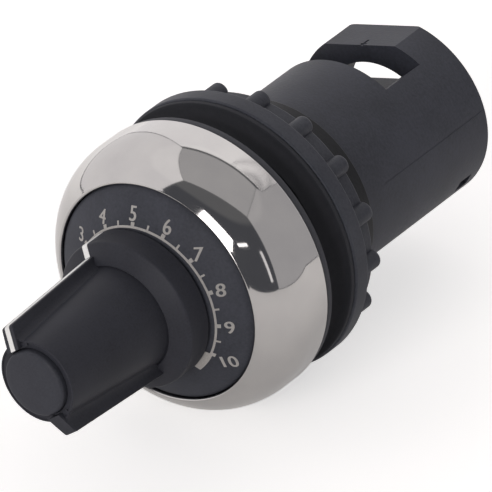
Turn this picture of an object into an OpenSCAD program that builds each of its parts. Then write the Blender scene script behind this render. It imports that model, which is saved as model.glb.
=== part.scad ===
// Panel-mounted rotary potentiometer with dial, winged knob and rear terminal housing.
// The axis of rotation is Y: the knob points to -Y and the terminals are at +Y.
// Y = 0 is the plane where the seal meets the front of the panel, and +Z is up.
// Angles are measured from +Z towards +X, which is clockwise when seen from the front.

/* [Panel] */
// Thickness of the panel between the seal and the ring nut
panel_t = 3.3; // [1:0.1:4.5]
// Thickness of the panel seal
seal_t = 1; // [0.6:0.1:1.8]
// How far the edge of the seal lies inside the edge of the bezel
seal_inset = 0.15; // [0.05:0.05:1]

/* [Bezel ring] */
// How far the bezel ring reaches over the panel, from the thread of the neck outwards
bezel_cover = 3.85; // [3.8:0.05:5]
// Length of the straight rim at the back of the bezel
bezel_rim_len = 2.3; // [1.5:0.1:4]
// Length of the curved front of the bezel
bezel_curve_len = 5.7; // [5.2:0.1:6]
// Wall of the bezel ring
bezel_wall = 1.15; // [0.8:0.05:1.4]

/* [Dial] */
// Direction of the middle of the dial's scale
dial_angle = -12.5; // [-30:0.5:30]
// Height of the dial cone, from its rim to its flat centre
dial_rise = 2.2; // [1:0.1:3]
// Radius of the flat centre of the dial
dial_flat_r = 7.45; // [6.5:0.05:8]
// Thickness of the dial plate
dial_t = 1.4; // [1:0.1:1.8]
// Depth of the dial rim behind the front edge of the bezel
dial_inset = 0.2; // [0:0.05:0.5]

/* [Knob] */
// Direction of the pointer at rest
pointer_angle = -39.5; // [-135:0.5:135]
// How far the skirt reaches beyond the back end of the wing ridges
skirt_reach = 1.27; // [0.9:0.01:1.3]
// Height of the straight side of the skirt
skirt_h = 2.65; // [2.2:0.05:3]
// Height of the cone between the skirt and the barrel
cone_h = 0.95; // [0.8:0.05:1.6]
// Barrel radius where it leaves the cone
barrel_rear_r = 5.5; // [5.2:0.05:5.8]
// Barrel radius at its front
barrel_front_r = 4.35; // [4.3:0.05:4.8]
// Length of the barrel
barrel_len = 13.35; // [12:0.05:16]
// Height of the wing ridges above the barrel, at the back
wing_rear_rise = 1.18; // [0.9:0.02:1.3]
// Height of the wing ridges above the barrel, at the front
wing_front_rise = 1.7; // [1.4:0.05:2]
// Thickness of a wing at its ridge
wing_t = 1.65; // [1.2:0.05:2]
// Radius of the fillets between the wings and the barrel
wing_fillet = 1.1; // [0.6:0.05:1.3]
// Width of the barrel's rim around the end cap
cap_rim_w = 0.85; // [0.7:0.05:0.95]
// How far the end cap stands in front of the barrel
cap_proud = 0.65; // [0.2:0.05:1]
// Width of the white line along the ridge
inlay_w = 0.5; // [0.3:0.05:0.8]
// Width of the white line down the front of the wing and across the skirt
mark_w = 0.75; // [0.4:0.05:1]

/* [Shaft and bushing] */
// Radius of the shaft
shaft_r = 2; // [1.6:0.1:2.1]
// Wall of the threaded bushing
bushing_wall = 1.45; // [1.2:0.05:1.9]
// Length of the bushing in front of the carrier wall
bushing_len = 4.2; // [3.2:0.1:4.5]
// Mechanical travel of the shaft to each side of the middle of the scale
half_travel = 135; // [120:1:140]

/* [Front housing] */
// Radius of the threaded neck
neck_r = 11; // [10.9:0.05:11.1]
// Length of the neck behind the seal
neck_len = 11.7; // [10:0.1:14]
// Length of the plain lead-in at the end of the neck
lead_in_len = 2.8; // [1:0.1:3]
// How far the plain lead-in lies below the thread
lead_in_step = 0.25; // [0.2:0.05:0.5]
// Wall of the neck, between the thread and the rear tube
neck_wall = 1.07; // [0.9:0.01:1.3]
// Thickness of the wall that carries the potentiometer
carrier_wall = 2.3; // [1.4:0.1:3]

/* [Ring nut] */
// How far the flange of the ring nut lies inside the edge of the bezel
nut_inset = 0.02; // [0:0.02:0.4]
// Thickness of the flange
nut_flange_t = 2; // [1.5:0.1:2.6]
// How far the collar lies inside the edge of the flange
nut_step = 1.48; // [1.2:0.02:2]
// Length of the collar
nut_collar_len = 2.75; // [2:0.05:3.2]
// Number of grip lugs around the collar
lug_count = 16; // [12:1:18]
// Radius of each grip lug
lug_r = 1; // [0.7:0.05:1.1]
// Thickness of the washer in front of the nut
washer_t = 0.5; // [0.3:0.1:1]

/* [Potentiometer] */
// Gap between the can and the wall of the tube
can_gap = 0.43; // [0.1:0.01:0.6]
// Length of the can
can_len = 7.6; // [7.4:0.1:9]
// Thickness of the track board
board_t = 1.4; // [1:0.1:1.6]

/* [Rear housing] */
// Distance from the panel face to the back of the tube
tube_depth = 33.2; // [33:0.1:38]
// Wall of the tube around the potentiometer
tube_wall = 1.45; // [1.2:0.05:1.55]
// Wall of the tube around the wiring channel at the back
channel_wall = 2.98; // [2.7:0.02:3.1]
// Length of the arch that closes the channel at the back
arch_len = 4.6; // [3.5:0.1:5.2]
// Length of the window in front of the arch
window_len = 5.7; // [5.5:0.1:6]
// Direction of the flat on top of the arch
flat_angle = -18.7; // [-30:0.1:30]
// Depth of the flat below the round of the tube
flat_depth = 1.1; // [0.7:0.02:1.5]
// Height above the axis at which the window starts, as a share of the channel's radius
sill_share = 0.783; // [0.75:0.005:0.84]
// Rise of the sloping window sills towards the outside
sill_slope = 27; // [10:1:35]

/* [Terminals] */
// Height of the terminal block's top above the axis, as a share of the channel's radius
floor_share = 0.435; // [0.38:0.005:0.45]
// Distance between neighbouring terminals, as a share of the channel's radius
pitch_share = 0.478; // [0.45:0.002:0.49]
// Gap between neighbouring contact plates
plate_gap = 0.6; // [0.5:0.05:1.1]
// Thickness of the contact plates
plate_t = 0.8; // [0.5:0.1:1]
// Diameter of the terminal screw heads, as a share of the width of a contact plate
screw_head_share = 1.04; // [0.9:0.01:1.06]

/* [Hidden] */
$fn = 96;

// Clearances: between still pieces, around turning pieces and for cuts that pass through a face
fit = 0.05;
running = 0.05;
free = 0.3;
through = 1;

// Radii that follow the thread of the neck
bezel_r = neck_r + bezel_cover;
seal_r = bezel_r - seal_inset;
lead_in_r = neck_r - lead_in_step;
nut_flange_r = bezel_r - nut_inset;
nut_collar_r = nut_flange_r - nut_step;
tube_r = neck_r - neck_wall - fit;
channel_r = tube_r - channel_wall;
flat_h = tube_r - flat_depth;
sill_h = sill_share * channel_r;
floor_h = floor_share * channel_r;
terminal_pitch = pitch_share * channel_r;

// Radii that follow the barrel of the knob and the shaft
wing_rear_h = barrel_rear_r + wing_rear_rise;
wing_front_h = barrel_front_r + wing_front_rise;
skirt_r = wing_rear_h + skirt_reach;
cap_r = barrel_front_r - cap_rim_w;
bushing_r = shaft_r + running + bushing_wall;

// Bezel: a quarter of an ellipse between the straight rim and the front lip
bezel_back_y = -seal_t;
bezel_shoulder_y = bezel_back_y - bezel_rim_len;
bezel_a = 5.2;
bezel_b = 6.3;
bezel_steps = 20;
bezel_end = asin(bezel_curve_len / bezel_b);
bezel_lip_y = bezel_shoulder_y - bezel_curve_len;
bezel_lip_r = bezel_r - bezel_a + bezel_a * cos(bezel_end);

// The wall that carries the potentiometer, and the bushing through it
wall_front_y = -0.3;
bushing_front_y = wall_front_y - bushing_len;

// Dial plate
dial_gap = 0.1;
dial_rim_r = bezel_lip_r - dial_gap;
dial_rim_y = bezel_lip_y + dial_inset;
dial_front_y = dial_rim_y - dial_rise;
dial_slope = dial_rise / (dial_rim_r - dial_flat_r);
dial_hub_r = 4.2;
dial_hub_gap = 1.9;
dial_hub_back_y = bushing_front_y - dial_hub_gap;
seal_pocket_w = 1;
seal_pocket_r = shaft_r + seal_pocket_w;
seal_cover = 1.6;
seal_pocket_y = dial_front_y + seal_cover;
oring_r = 0.47;
retainer_gap = 0.2;

// Front housing
housing_seat_y = dial_rim_y + dial_t + fit;
recess_step = 0.45;
recess_r = dial_flat_r - recess_step;
neck_bore_r = tube_r + fit;
carrier_back_y = wall_front_y + carrier_wall;

// Ring nut
nut_front_y = panel_t + washer_t;
nut_flange_back_y = nut_front_y + nut_flange_t;
nut_back_y = nut_flange_back_y + nut_collar_len;
nut_bore_r = neck_r + fit;

// Knob stations along the axis
skirt_gap = 0.2;
skirt_back_y = dial_front_y - skirt_gap;
skirt_edge_y = skirt_back_y - skirt_h;
barrel_rear_y = skirt_edge_y - cone_h;
barrel_front_y = barrel_rear_y - barrel_len;
cap_front_y = barrel_front_y - cap_proud;
skirt_recess_depth = 1.2;
skirt_wall = 1.2;
skirt_chamfer = 0.25;
rim_round = 0.2;
rim_groove_w = 0.65;
rim_groove_depth = 0.4;
cone_slope = cone_h / (skirt_r - barrel_rear_r);
wing_corner_r = 0.4;
wing_rise = 4;
wing_root = 2.4;
wing_back = 2;
wing_ends = 6;
fillet_dip = 0.15;
wing_foot_y = barrel_front_y - 0.6;
wing_top_y = barrel_front_y + 0.15;
wing_tilt = atan((barrel_rear_r - barrel_front_r) / barrel_len);
inlay_depth = 0.5;
inlay_gap = 0.15;
ridge_end_y = skirt_edge_y - (skirt_r - wing_rear_h) * cone_slope;
inlay_back_y = ridge_end_y - inlay_gap;
mark_start_r = wing_rear_h + inlay_gap;
mark_back_y = skirt_back_y - skirt_h / 3;

// Cap and collet inside the barrel
cap_seat_depth = 1.15;
cap_seat_y = barrel_front_y + cap_seat_depth;
cap_round = 0.25;
cap_spigot_len = 0.6;
cap_wall = 0.8;
cap_face = 1;
cap_nut_gap = 0.25;
cap_seat_w = 0.2;
nut_pocket_r = cap_r - cap_seat_w;
collet_nut_len = 1.6;
nut_seat_y = cap_seat_y + cap_spigot_len + cap_nut_gap + collet_nut_len;
collet_r = shaft_r + 0.8;
collet_thread_r = shaft_r + 0.4;
collet_len = 10;
collet_back_y = nut_seat_y + collet_len;
collet_slots = 4;
collet_slot_w = 0.5;

// Potentiometer
tube_cavity_r = tube_r - tube_wall;
can_r = tube_cavity_r - can_gap;
can_wall = 0.5;
can_front_wall = 0.8;
can_front_y = carrier_back_y;
can_back_y = can_front_y + can_len;
can_bore_r = can_r - can_wall;
flange_r = 0.667 * can_bore_r;
flange_t = 0.8;
flange_back_y = can_front_y + can_front_wall + flange_t;
bushing_washer_t = 0.5;
bushing_nut_t = 2;
bushing_nut_r = flange_r / cos(30);
bushing_nut_y = wall_front_y - bushing_washer_t - bushing_nut_t;
board_back_y = can_back_y - 0.4;
board_front_y = board_back_y - board_t;
board_r = can_bore_r - fit;
track_t = 0.1;
track_front_y = board_front_y - track_t;
track_r_in = 0.667 * can_bore_r;
track_r_out = 0.827 * can_bore_r;
track_half_angle = 140;
collector_r_in = 0.44 * can_bore_r;
collector_r_out = 0.6 * can_bore_r;
carrier_disc_r = track_r_out;
carrier_hub_r = 0.4 * can_bore_r;
carrier_t = 1.2;
carrier_front_y = flange_back_y + 0.3;
disc_front_y = carrier_front_y + 0.3;
disc_back_y = disc_front_y + carrier_t;
stop_half_angle = 25;
stop_tab_half_angle = 180 - half_travel - stop_half_angle - 0.5;
stop_tab_r = can_bore_r - 0.2;
shaft_back_y = disc_back_y + 0.6;
shaft_flat_h = shaft_r - 0.5;
spring_t = 0.2;
contact_r = 0.3;
contact_gap = 0.05;
clip_groove_r = shaft_r - 0.4;
clip_t = 0.5;
clip_back_y = bushing_front_y - 0.1;

// Rear housing
tube_front_y = carrier_back_y + 0.2;
window_back_y = tube_depth - arch_len;
window_front_y = window_back_y - window_len;
chamber_y = window_front_y - 0.5;
divider_t = 1.4;
sill_t = sqrt(channel_r * channel_r - sill_h * sill_h);
edge_round = 0.3;
latch_angle = 133.7;
latch_w = 1.6;
latch_inset = 2.4;
latch_y = tube_depth - latch_inset;
latch_len = 1.3;

// Terminals
plate_w = terminal_pitch - plate_gap;
block_front_y = chamber_y + 1.6;
block_back_y = tube_depth - 0.3;
rail_leg_t = 0.8;
rail_leg_w = 1.4;
rail_pin_r = 0.5;
rail_pin_h = -0.5;
rail_front_y = board_back_y - 0.4;
rail_leg_y = chamber_y + 0.6;
plate_len = 5;
plate_clear = 0.05;
screw_head_r = screw_head_share * plate_w / 2;
screw_r = 0.71 * screw_head_r;
screw_len = 4.6;
screw_y = (window_front_y + window_back_y) / 2;
screw_head_t = 1.1;
screw_slot_w = 0.4;
clamp_washer_t = 0.5;
clamp_washer_step = 0.2;
clamp_washer_w = plate_w - clamp_washer_step;

// Colours
chrome_colour = "#c9ccd2";
dial_colour = "#3e3f44";
plastic_colour = "#2b2b2f";
nut_colour = "#45464b";
rubber_colour = "#202224";
white_colour = "#e8e8e6";
brass_colour = "#b8923f";
steel_colour = "#9a9ca1";
board_colour = "#8a5a34";
track_colour = "#1b1b1d";

// Turns an outline of [radius, Y] points about the axis
module turned(outline) {
    rotate([-90, 0, 0]) rotate_extrude() polygon(outline);
}

// A round bar along the axis between two stations
module bar(r, y0, y1) {
    translate([0, y0, 0]) rotate([-90, 0, 0]) cylinder(r = r, h = y1 - y0);
}

// A ring along the axis between two stations
module ring(r_out, r_in, y0, y1) {
    difference() {
        bar(r_out, y0, y1);
        bar(r_in, y0 - through, y1 + through);
    }
}

// An outline in X and Z, drawn out along the axis between two stations
module drawn_out(outline, y0, y1) {
    translate([0, y1, 0]) rotate([90, 0, 0]) linear_extrude(y1 - y0) polygon(outline);
}

// A ring sector that covers half_angle to each side of +Z
module sector(r_out, r_in, half_angle, y0, y1) {
    rotate([0, -half_angle, 0]) rotate([-90, 0, 0]) rotate([0, 0, -90])
        rotate_extrude(angle = 2 * half_angle)
            translate([r_in, y0]) square([r_out - r_in, y1 - y0]);
}

// A block centred on X, between two heights and two stations
module block(w, h0, h1, y0, y1) {
    translate([-w / 2, y0, h0]) cube([w, y1 - y0, h1 - h0]);
}

module at_pointer() {
    rotate([0, pointer_angle, 0]) children();
}

module at_dial() {
    rotate([0, dial_angle, 0]) children();
}

module at_flat() {
    rotate([0, flat_angle, 0]) children();
}

module at_terminals() {
    for (i = [-1 : 1]) translate([i * terminal_pitch, 0, 0]) children();
}

// Points of the bezel's curve, offset inwards by wall, from the rim to the given angle
function bezel_curve(wall, end) = [
    for (i = [0 : bezel_steps])
        let (a = end * i / bezel_steps)
        [bezel_r - bezel_a + (bezel_a - wall) * cos(a), bezel_shoulder_y - (bezel_b - wall) * sin(a)]
];

function reversed(list) = [for (i = [len(list) - 1 : -1 : 0]) list[i]];

// Angle at which the bezel's inner curve reaches the radius of the lip
function inner_end(wall) = acos((bezel_lip_r - bezel_r + bezel_a) / (bezel_a - wall));

module bezel_ring() {
    color(chrome_colour) turned(concat(
        [[bezel_r - bezel_wall, bezel_back_y], [bezel_r, bezel_back_y]],
        bezel_curve(0, bezel_end),
        reversed(bezel_curve(bezel_wall, inner_end(bezel_wall)))));
}

module dial_plate() {
    color(dial_colour) turned([
        [dial_rim_r, dial_rim_y],
        [dial_flat_r, dial_front_y],
        [shaft_r + running, dial_front_y],
        [shaft_r + running, seal_pocket_y],
        [seal_pocket_r, seal_pocket_y],
        [seal_pocket_r, dial_hub_back_y],
        [dial_hub_r, dial_hub_back_y],
        [dial_hub_r, dial_front_y + dial_t],
        [dial_flat_r, dial_front_y + dial_t],
        [dial_rim_r, dial_rim_y + dial_t]]);
}

// The turned body of the front housing: flange under the bezel, carrier wall and neck
module front_housing() {
    wall = bezel_wall + fit;
    color(plastic_colour) difference() {
        turned(concat(
            [[recess_r, wall_front_y],
            [recess_r, dial_front_y + dial_t + fit + (dial_flat_r - recess_r) * dial_slope],
            [dial_flat_r, dial_front_y + dial_t + fit],
            [dial_rim_r, housing_seat_y]],
            reversed(bezel_curve(wall, inner_end(wall))),
            [[bezel_r - wall, bezel_back_y],
            [neck_r, bezel_back_y],
            [neck_r, neck_len - lead_in_len],
            [lead_in_r, neck_len - lead_in_len],
            [lead_in_r, neck_len],
            [neck_bore_r, neck_len],
            [neck_bore_r, carrier_back_y],
            [0, carrier_back_y],
            [0, wall_front_y]]));
        bar(bushing_r + fit, wall_front_y - through, carrier_back_y + through);
    }
}

module panel_seal() {
    color(rubber_colour) ring(seal_r, neck_r, bezel_back_y, 0);
}

module nut_washer() {
    color(rubber_colour) ring(nut_flange_r - 0.2, nut_bore_r, panel_t, nut_front_y);
}

module ring_nut() {
    color(nut_colour) difference() {
        union() {
            bar(nut_flange_r, nut_front_y, nut_flange_back_y);
            bar(nut_collar_r, nut_front_y, nut_back_y);
            for (i = [0 : lug_count - 1]) rotate([0, i * 360 / lug_count, 0])
                translate([0, 0, nut_collar_r]) bar(lug_r, nut_flange_back_y - fit, nut_back_y, $fn = 24);
        }
        bar(nut_bore_r, nut_front_y - through, nut_back_y + through);
    }
}

// The seal ring that grips the shaft inside the hub of the dial
module shaft_seal() {
    color(rubber_colour) rotate([-90, 0, 0]) rotate_extrude()
        translate([shaft_r + running + oring_r, seal_pocket_y + oring_r]) circle(oring_r, $fn = 32);
}

module seal_retainer() {
    color(plastic_colour)
        ring(seal_pocket_r - fit, shaft_r + retainer_gap,
            seal_pocket_y + 2 * oring_r, dial_hub_back_y - retainer_gap);
}

module shaft_bushing() {
    color(brass_colour) difference() {
        union() {
            bar(bushing_r, bushing_front_y, flange_back_y);
            bar(flange_r, can_front_y + can_front_wall, flange_back_y);
        }
        bar(shaft_r + running, bushing_front_y - through, flange_back_y + through);
    }
}

module bushing_nut() {
    color(steel_colour) difference() {
        translate([0, bushing_nut_y, 0]) rotate([-90, 0, 0])
            cylinder(r = bushing_nut_r, h = bushing_nut_t, $fn = 6);
        bar(bushing_r + fit, bushing_nut_y - through, wall_front_y + through);
    }
}

module bushing_washer() {
    color(steel_colour)
        ring(bushing_nut_r, bushing_r + fit, wall_front_y - bushing_washer_t, wall_front_y);
}

// The metal cup of the potentiometer, with the stop inside its front wall
module pot_can() {
    color(steel_colour) union() {
        ring(can_r, can_bore_r, can_front_y, can_back_y);
        ring(can_r, bushing_r + fit, can_front_y, can_front_y + can_front_wall);
        at_dial() sector(can_r - can_wall / 2, carrier_disc_r + free, stop_half_angle,
            can_front_y + can_front_wall / 2, disc_back_y);
    }
}

module track_board() {
    color(board_colour) difference() {
        bar(board_r, board_front_y, board_back_y);
        at_flat() at_terminals() translate([0, 0, rail_pin_h])
            bar(rail_pin_r, rail_front_y, board_back_y + through);
    }
}

module resistive_track() {
    color(track_colour) at_dial()
        sector(track_r_out, track_r_in, track_half_angle, track_front_y, board_front_y);
}

module collector_ring() {
    color(brass_colour) ring(collector_r_out, collector_r_in, track_front_y, board_front_y);
}

// Outline of the window's opening, whose sills slope up towards the outside
function window_outline() =
    let (reach = 2 * tube_r, rise = (reach - sill_t) * tan(sill_slope))
    [[-sill_t, sill_h], [sill_t, sill_h], [reach, sill_h + rise], [reach, reach + sill_h + rise],
        [-reach, reach + sill_h + rise], [-reach, sill_h + rise]];

// The tube: potentiometer cavity in front, wiring channel with window and arch at the back
module rear_housing() {
    color(plastic_colour) at_flat() difference() {
        turned([
            [0, tube_front_y],
            [tube_r, tube_front_y],
            [tube_r, tube_depth - edge_round],
            [tube_r - edge_round, tube_depth],
            [0, tube_depth]]);
        bar(tube_cavity_r, tube_front_y - through, chamber_y - divider_t);
        bar(channel_r, chamber_y, tube_depth + through);
        drawn_out(window_outline(), window_front_y, window_back_y);
        block(2 * tube_r, flat_h, tube_r + through, window_front_y, tube_depth + through);
        at_terminals() translate([0, 0, rail_pin_h])
            bar(rail_pin_r + plate_clear, chamber_y - divider_t - through, chamber_y + through);
        rotate([0, latch_angle, 0])
            block(latch_w, channel_r - through, tube_r + through, latch_y, latch_y + latch_len);
    }
}

// The insert that fills the channel below the wires and carries the contact plates
module terminal_block() {
    color(plastic_colour) at_flat() difference() {
        union() {
            bar(channel_r - fit, block_front_y, block_back_y);
            rotate([0, latch_angle, 0])
                block(latch_w - 2 * fit, channel_r - through, tube_r - 0.5,
                    latch_y + fit, latch_y + latch_len - fit);
        }
        block(2 * tube_r, floor_h, tube_r, block_front_y - through, block_back_y + through);
        at_terminals() {
            block(plate_w + 2 * plate_clear, floor_h - plate_t, floor_h + through,
                block_front_y - through, rail_leg_y + plate_len + plate_clear);
            translate([0, screw_y, floor_h - screw_len]) cylinder(r = screw_r, h = screw_len, $fn = 24);
        }
    }
}

// One contact: plate under the screw, leg down the front of the block and pin to the track board
module contact_rail(place) {
    color(brass_colour) at_flat() translate([place * terminal_pitch, 0, 0]) difference() {
        union() {
            block(plate_w, floor_h - plate_t, floor_h, rail_leg_y, rail_leg_y + plate_len);
            block(rail_leg_w, rail_pin_h - rail_leg_w / 2, floor_h, rail_leg_y, rail_leg_y + rail_leg_t);
            translate([0, 0, rail_pin_h]) bar(rail_pin_r, rail_front_y, rail_leg_y + rail_leg_t / 2);
        }
        translate([0, screw_y, floor_h - plate_t - through])
            cylinder(r = screw_r + fit, h = plate_t + 2 * through, $fn = 24);
    }
}

module contact_rail_start() {
    contact_rail(-1);
}

module contact_rail_wiper() {
    contact_rail(0);
}

module contact_rail_end() {
    contact_rail(1);
}

module terminal_washers() {
    color(steel_colour) at_flat() at_terminals() difference() {
        translate([0, screw_y - clamp_washer_w / 2, 0])
            block(clamp_washer_w, floor_h, floor_h + clamp_washer_t, 0, clamp_washer_w);
        translate([0, screw_y, floor_h - through])
            cylinder(r = screw_r + fit, h = clamp_washer_t + 2 * through, $fn = 24);
    }
}

module terminal_screws() {
    head_h = floor_h + clamp_washer_t;
    color(steel_colour) at_flat() at_terminals() difference() {
        union() {
            translate([0, screw_y, floor_h - screw_len + 0.2])
                cylinder(r = screw_r, h = screw_len + clamp_washer_t, $fn = 24);
            translate([0, screw_y, head_h]) cylinder(r = screw_head_r, h = screw_head_t, $fn = 32);
        }
        translate([0, screw_y - screw_head_r - through, 0])
            block(screw_slot_w, head_h + screw_head_t / 2, head_h + screw_head_t + through,
                0, 2 * (screw_head_r + through));
    }
}

// Section of a wing, with concave fillets that dip into the barrel; zero height is the axis
function wing_half_section() =
    let (half = wing_t / 2,
        reach = barrel_rear_r + wing_fillet - fillet_dip,
        cx = half + wing_fillet,
        cz = sqrt(reach * reach - cx * cx),
        last = 180 + atan(cz / cx),
        steps = 8)
    concat(
        [[half, barrel_rear_r + wing_rise]],
        [for (i = [0 : steps])
            let (a = 180 + (last - 180) * i / steps)
            [cx + wing_fillet * cos(a), cz + wing_fillet * sin(a)]],
        [[cx + wing_fillet * cos(last), barrel_rear_r - wing_root]]);

function wing_section() =
    let (right = wing_half_section())
    concat(right, [for (p = reversed(right)) [-p[0], p[1]]]);

// Side view of a wing as [Y, height] points, moved inwards by inset at the ridge and the front
function wing_side(inset) =
    let (slope = (wing_rear_h - wing_front_h) / (wing_top_y - barrel_rear_y),
        r = wing_corner_r,
        front_lean = atan((wing_top_y - wing_foot_y) / (wing_front_h - wing_corner_r - cap_r)),
        back_y = skirt_edge_y + skirt_h / 2,
        cy = wing_top_y + r,
        cz = wing_front_h - r)
    [[back_y, 0],
        [back_y, wing_rear_h - inset - slope * (back_y - barrel_rear_y)],
        for (i = [0 : 5])
            let (a = 90 + (90 - front_lean) * i / 5)
            [cy + (r - min(inset, r - 0.1)) * cos(a) + max(0, inset - r + 0.1),
                cz + (r - min(inset, r - 0.1)) * sin(a) - max(0, inset - r + 0.1)],
        [wing_foot_y + inset, cap_r - inset],
        [wing_foot_y + inset, 0]];

// The side view of a wing, drawn out sideways by the given width
module wing_slab(inset, w) {
    translate([-w / 2, 0, 0]) rotate([90, 0, 90]) linear_extrude(w) polygon(wing_side(inset));
}

module wing() {
    intersection() {
        translate([0, barrel_rear_y + wing_back, wing_back * tan(wing_tilt)])
            rotate([90 + wing_tilt, 0, 0])
                linear_extrude(barrel_len + wing_ends) polygon(wing_section());
        wing_slab(0, 2 * barrel_rear_r);
    }
}

// The skirt and its cone, moved inwards by inset
module skirt(inset = 0) {
    rim_r = skirt_r - inset;
    turned([
        [0, skirt_back_y],
        [rim_r, skirt_back_y],
        [rim_r, skirt_edge_y + skirt_chamfer + inset],
        [rim_r - skirt_chamfer, skirt_edge_y - skirt_chamfer * cone_slope + inset],
        [barrel_rear_r, barrel_rear_y + inset],
        [0, barrel_rear_y + inset]]);
}

// Turned outline of the knob, without its bores
function knob_outline() = [
    [0, skirt_back_y],
    [skirt_r, skirt_back_y],
    [skirt_r, skirt_edge_y + skirt_chamfer],
    [skirt_r - skirt_chamfer, skirt_edge_y - skirt_chamfer * cone_slope],
    [barrel_rear_r, barrel_rear_y],
    [barrel_front_r, barrel_front_y + rim_round],
    [barrel_front_r - rim_round, barrel_front_y],
    [0, barrel_front_y]];

// The groove along the ridge and down the front of the upper wing
module inlay_groove() {
    difference() {
        union() {
            block(inlay_w, 0, wing_rear_h + through, wing_foot_y - through, inlay_back_y);
            block(mark_w, 0, wing_rear_h + through, wing_foot_y - through, wing_top_y + inlay_depth);
        }
        wing_slab(inlay_depth, 2 * mark_w);
        bar(cap_r + fit, wing_foot_y - 2 * through, cap_seat_y);
    }
}

// The groove across the cone and down the side of the skirt, from the foot of the wing
module mark_groove() {
    difference() {
        block(mark_w, mark_start_r, skirt_r + through, barrel_rear_y - free, mark_back_y);
        skirt(inlay_depth);
    }
}

module knob_body() {
    color(plastic_colour) at_pointer() difference() {
        union() {
            difference() {
                turned(knob_outline());
                bar(cap_r + rim_groove_w, wing_foot_y - through, barrel_front_y + rim_groove_depth);
            }
            wing();
            rotate([0, 180, 0]) wing();
        }
        ring(skirt_r - skirt_wall, collet_r + skirt_wall,
            skirt_back_y - skirt_recess_depth, skirt_back_y + through);
        bar(cap_r + fit, wing_foot_y - through, cap_seat_y);
        bar(nut_pocket_r, barrel_front_y, nut_seat_y);
        bar(collet_r + fit, barrel_front_y, skirt_back_y + through);
        inlay_groove();
        mark_groove();
    }
}

module knob_cap() {
    color(plastic_colour) at_pointer() difference() {
        turned([
            [0, cap_front_y],
            [cap_r - cap_round, cap_front_y],
            [cap_r, cap_front_y + cap_round],
            [cap_r, cap_seat_y],
            [nut_pocket_r - fit, cap_seat_y],
            [nut_pocket_r - fit, cap_seat_y + cap_spigot_len],
            [0, cap_seat_y + cap_spigot_len]]);
        bar(nut_pocket_r - cap_wall, cap_front_y + cap_face, cap_seat_y + cap_spigot_len + through);
    }
}

module pointer_inlay() {
    color(white_colour) at_pointer() intersection() {
        inlay_groove();
        wing_slab(0, 2 * mark_w);
    }
}

module skirt_mark() {
    color(white_colour) at_pointer() intersection() {
        mark_groove();
        skirt();
    }
}

module collet() {
    color(brass_colour) at_pointer() difference() {
        union() {
            bar(collet_thread_r, nut_seat_y - collet_nut_len, nut_seat_y + through);
            bar(collet_r, nut_seat_y, collet_back_y);
        }
        bar(shaft_r, nut_seat_y - collet_nut_len - through, collet_back_y + through);
        for (i = [0 : collet_slots / 2 - 1]) rotate([0, 45 + i * 360 / collet_slots, 0])
            block(collet_slot_w, -collet_r - through, collet_r + through,
                nut_seat_y - collet_nut_len - through, nut_seat_y + collet_len / 2);
    }
}

module collet_nut() {
    color(brass_colour) at_pointer() difference() {
        translate([0, nut_seat_y - collet_nut_len, 0]) rotate([-90, 0, 0])
            cylinder(r = nut_pocket_r - fit, h = collet_nut_len, $fn = 6);
        bar(collet_thread_r, nut_seat_y - collet_nut_len - through, nut_seat_y + through);
    }
}

// The shaft, with a groove for its clip and a flat that drives the wiper carrier
module shaft() {
    color(steel_colour) at_pointer() difference() {
        turned([
            [0, nut_seat_y - collet_nut_len + 0.6],
            [shaft_r, nut_seat_y - collet_nut_len + 0.6],
            [shaft_r, clip_back_y - clip_t],
            [clip_groove_r, clip_back_y - clip_t],
            [clip_groove_r, clip_back_y],
            [shaft_r, clip_back_y],
            [shaft_r, shaft_back_y],
            [0, shaft_back_y]]);
        block(2 * shaft_r, shaft_flat_h, shaft_r + through, carrier_front_y, shaft_back_y + through);
    }
}

module shaft_clip() {
    color(steel_colour) at_pointer() difference() {
        ring(shaft_r + 1.2, clip_groove_r, clip_back_y - clip_t, clip_back_y);
        block(2 * clip_groove_r - 0.4, 0, shaft_r + 2, clip_back_y - clip_t - through, clip_back_y + through);
    }
}

// The moulded disc that carries the wiper, with the tab that meets the stop
module wiper_carrier() {
    color(white_colour) at_pointer() difference() {
        union() {
            bar(carrier_hub_r, carrier_front_y, disc_back_y + 0.6);
            bar(carrier_disc_r, disc_front_y, disc_back_y);
            rotate([0, 180, 0])
                sector(stop_tab_r, carrier_disc_r - through, stop_tab_half_angle, disc_front_y, disc_back_y);
        }
        difference() {
            bar(shaft_r, carrier_front_y - through, disc_back_y + through);
            block(2 * shaft_r, shaft_flat_h, shaft_r + through,
                carrier_front_y - 2 * through, disc_back_y + 2 * through);
        }
    }
}

// The bridge between the collector ring and the resistive track, with two round contacts
module wiper_spring() {
    tip_y = track_front_y - contact_gap - contact_r;
    color(brass_colour) at_pointer() union() {
        sector(carrier_disc_r - 0.1, carrier_hub_r + 0.1, 30, disc_back_y, disc_back_y + spring_t);
        for (r = [(collector_r_in + collector_r_out) / 2, (track_r_in + track_r_out) / 2])
            translate([0, 0, r]) {
                bar(contact_r - fit, disc_back_y, tip_y, $fn = 24);
                translate([0, tip_y, 0]) sphere(contact_r, $fn = 24);
            }
    }
}

bezel_ring();
dial_plate();
front_housing();
panel_seal();
ring_nut();
nut_washer();
shaft_seal();
seal_retainer();
shaft_bushing();
bushing_nut();
bushing_washer();
pot_can();
track_board();
resistive_track();
collector_ring();
rear_housing();
terminal_block();
contact_rail_start();
contact_rail_wiper();
contact_rail_end();
terminal_washers();
terminal_screws();
knob_body();
knob_cap();
pointer_inlay();
skirt_mark();
collet();
collet_nut();
shaft();
shaft_clip();
wiper_carrier();
wiper_spring();
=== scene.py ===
import math

import bmesh
import bpy
from mathutils import Matrix, Vector

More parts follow.
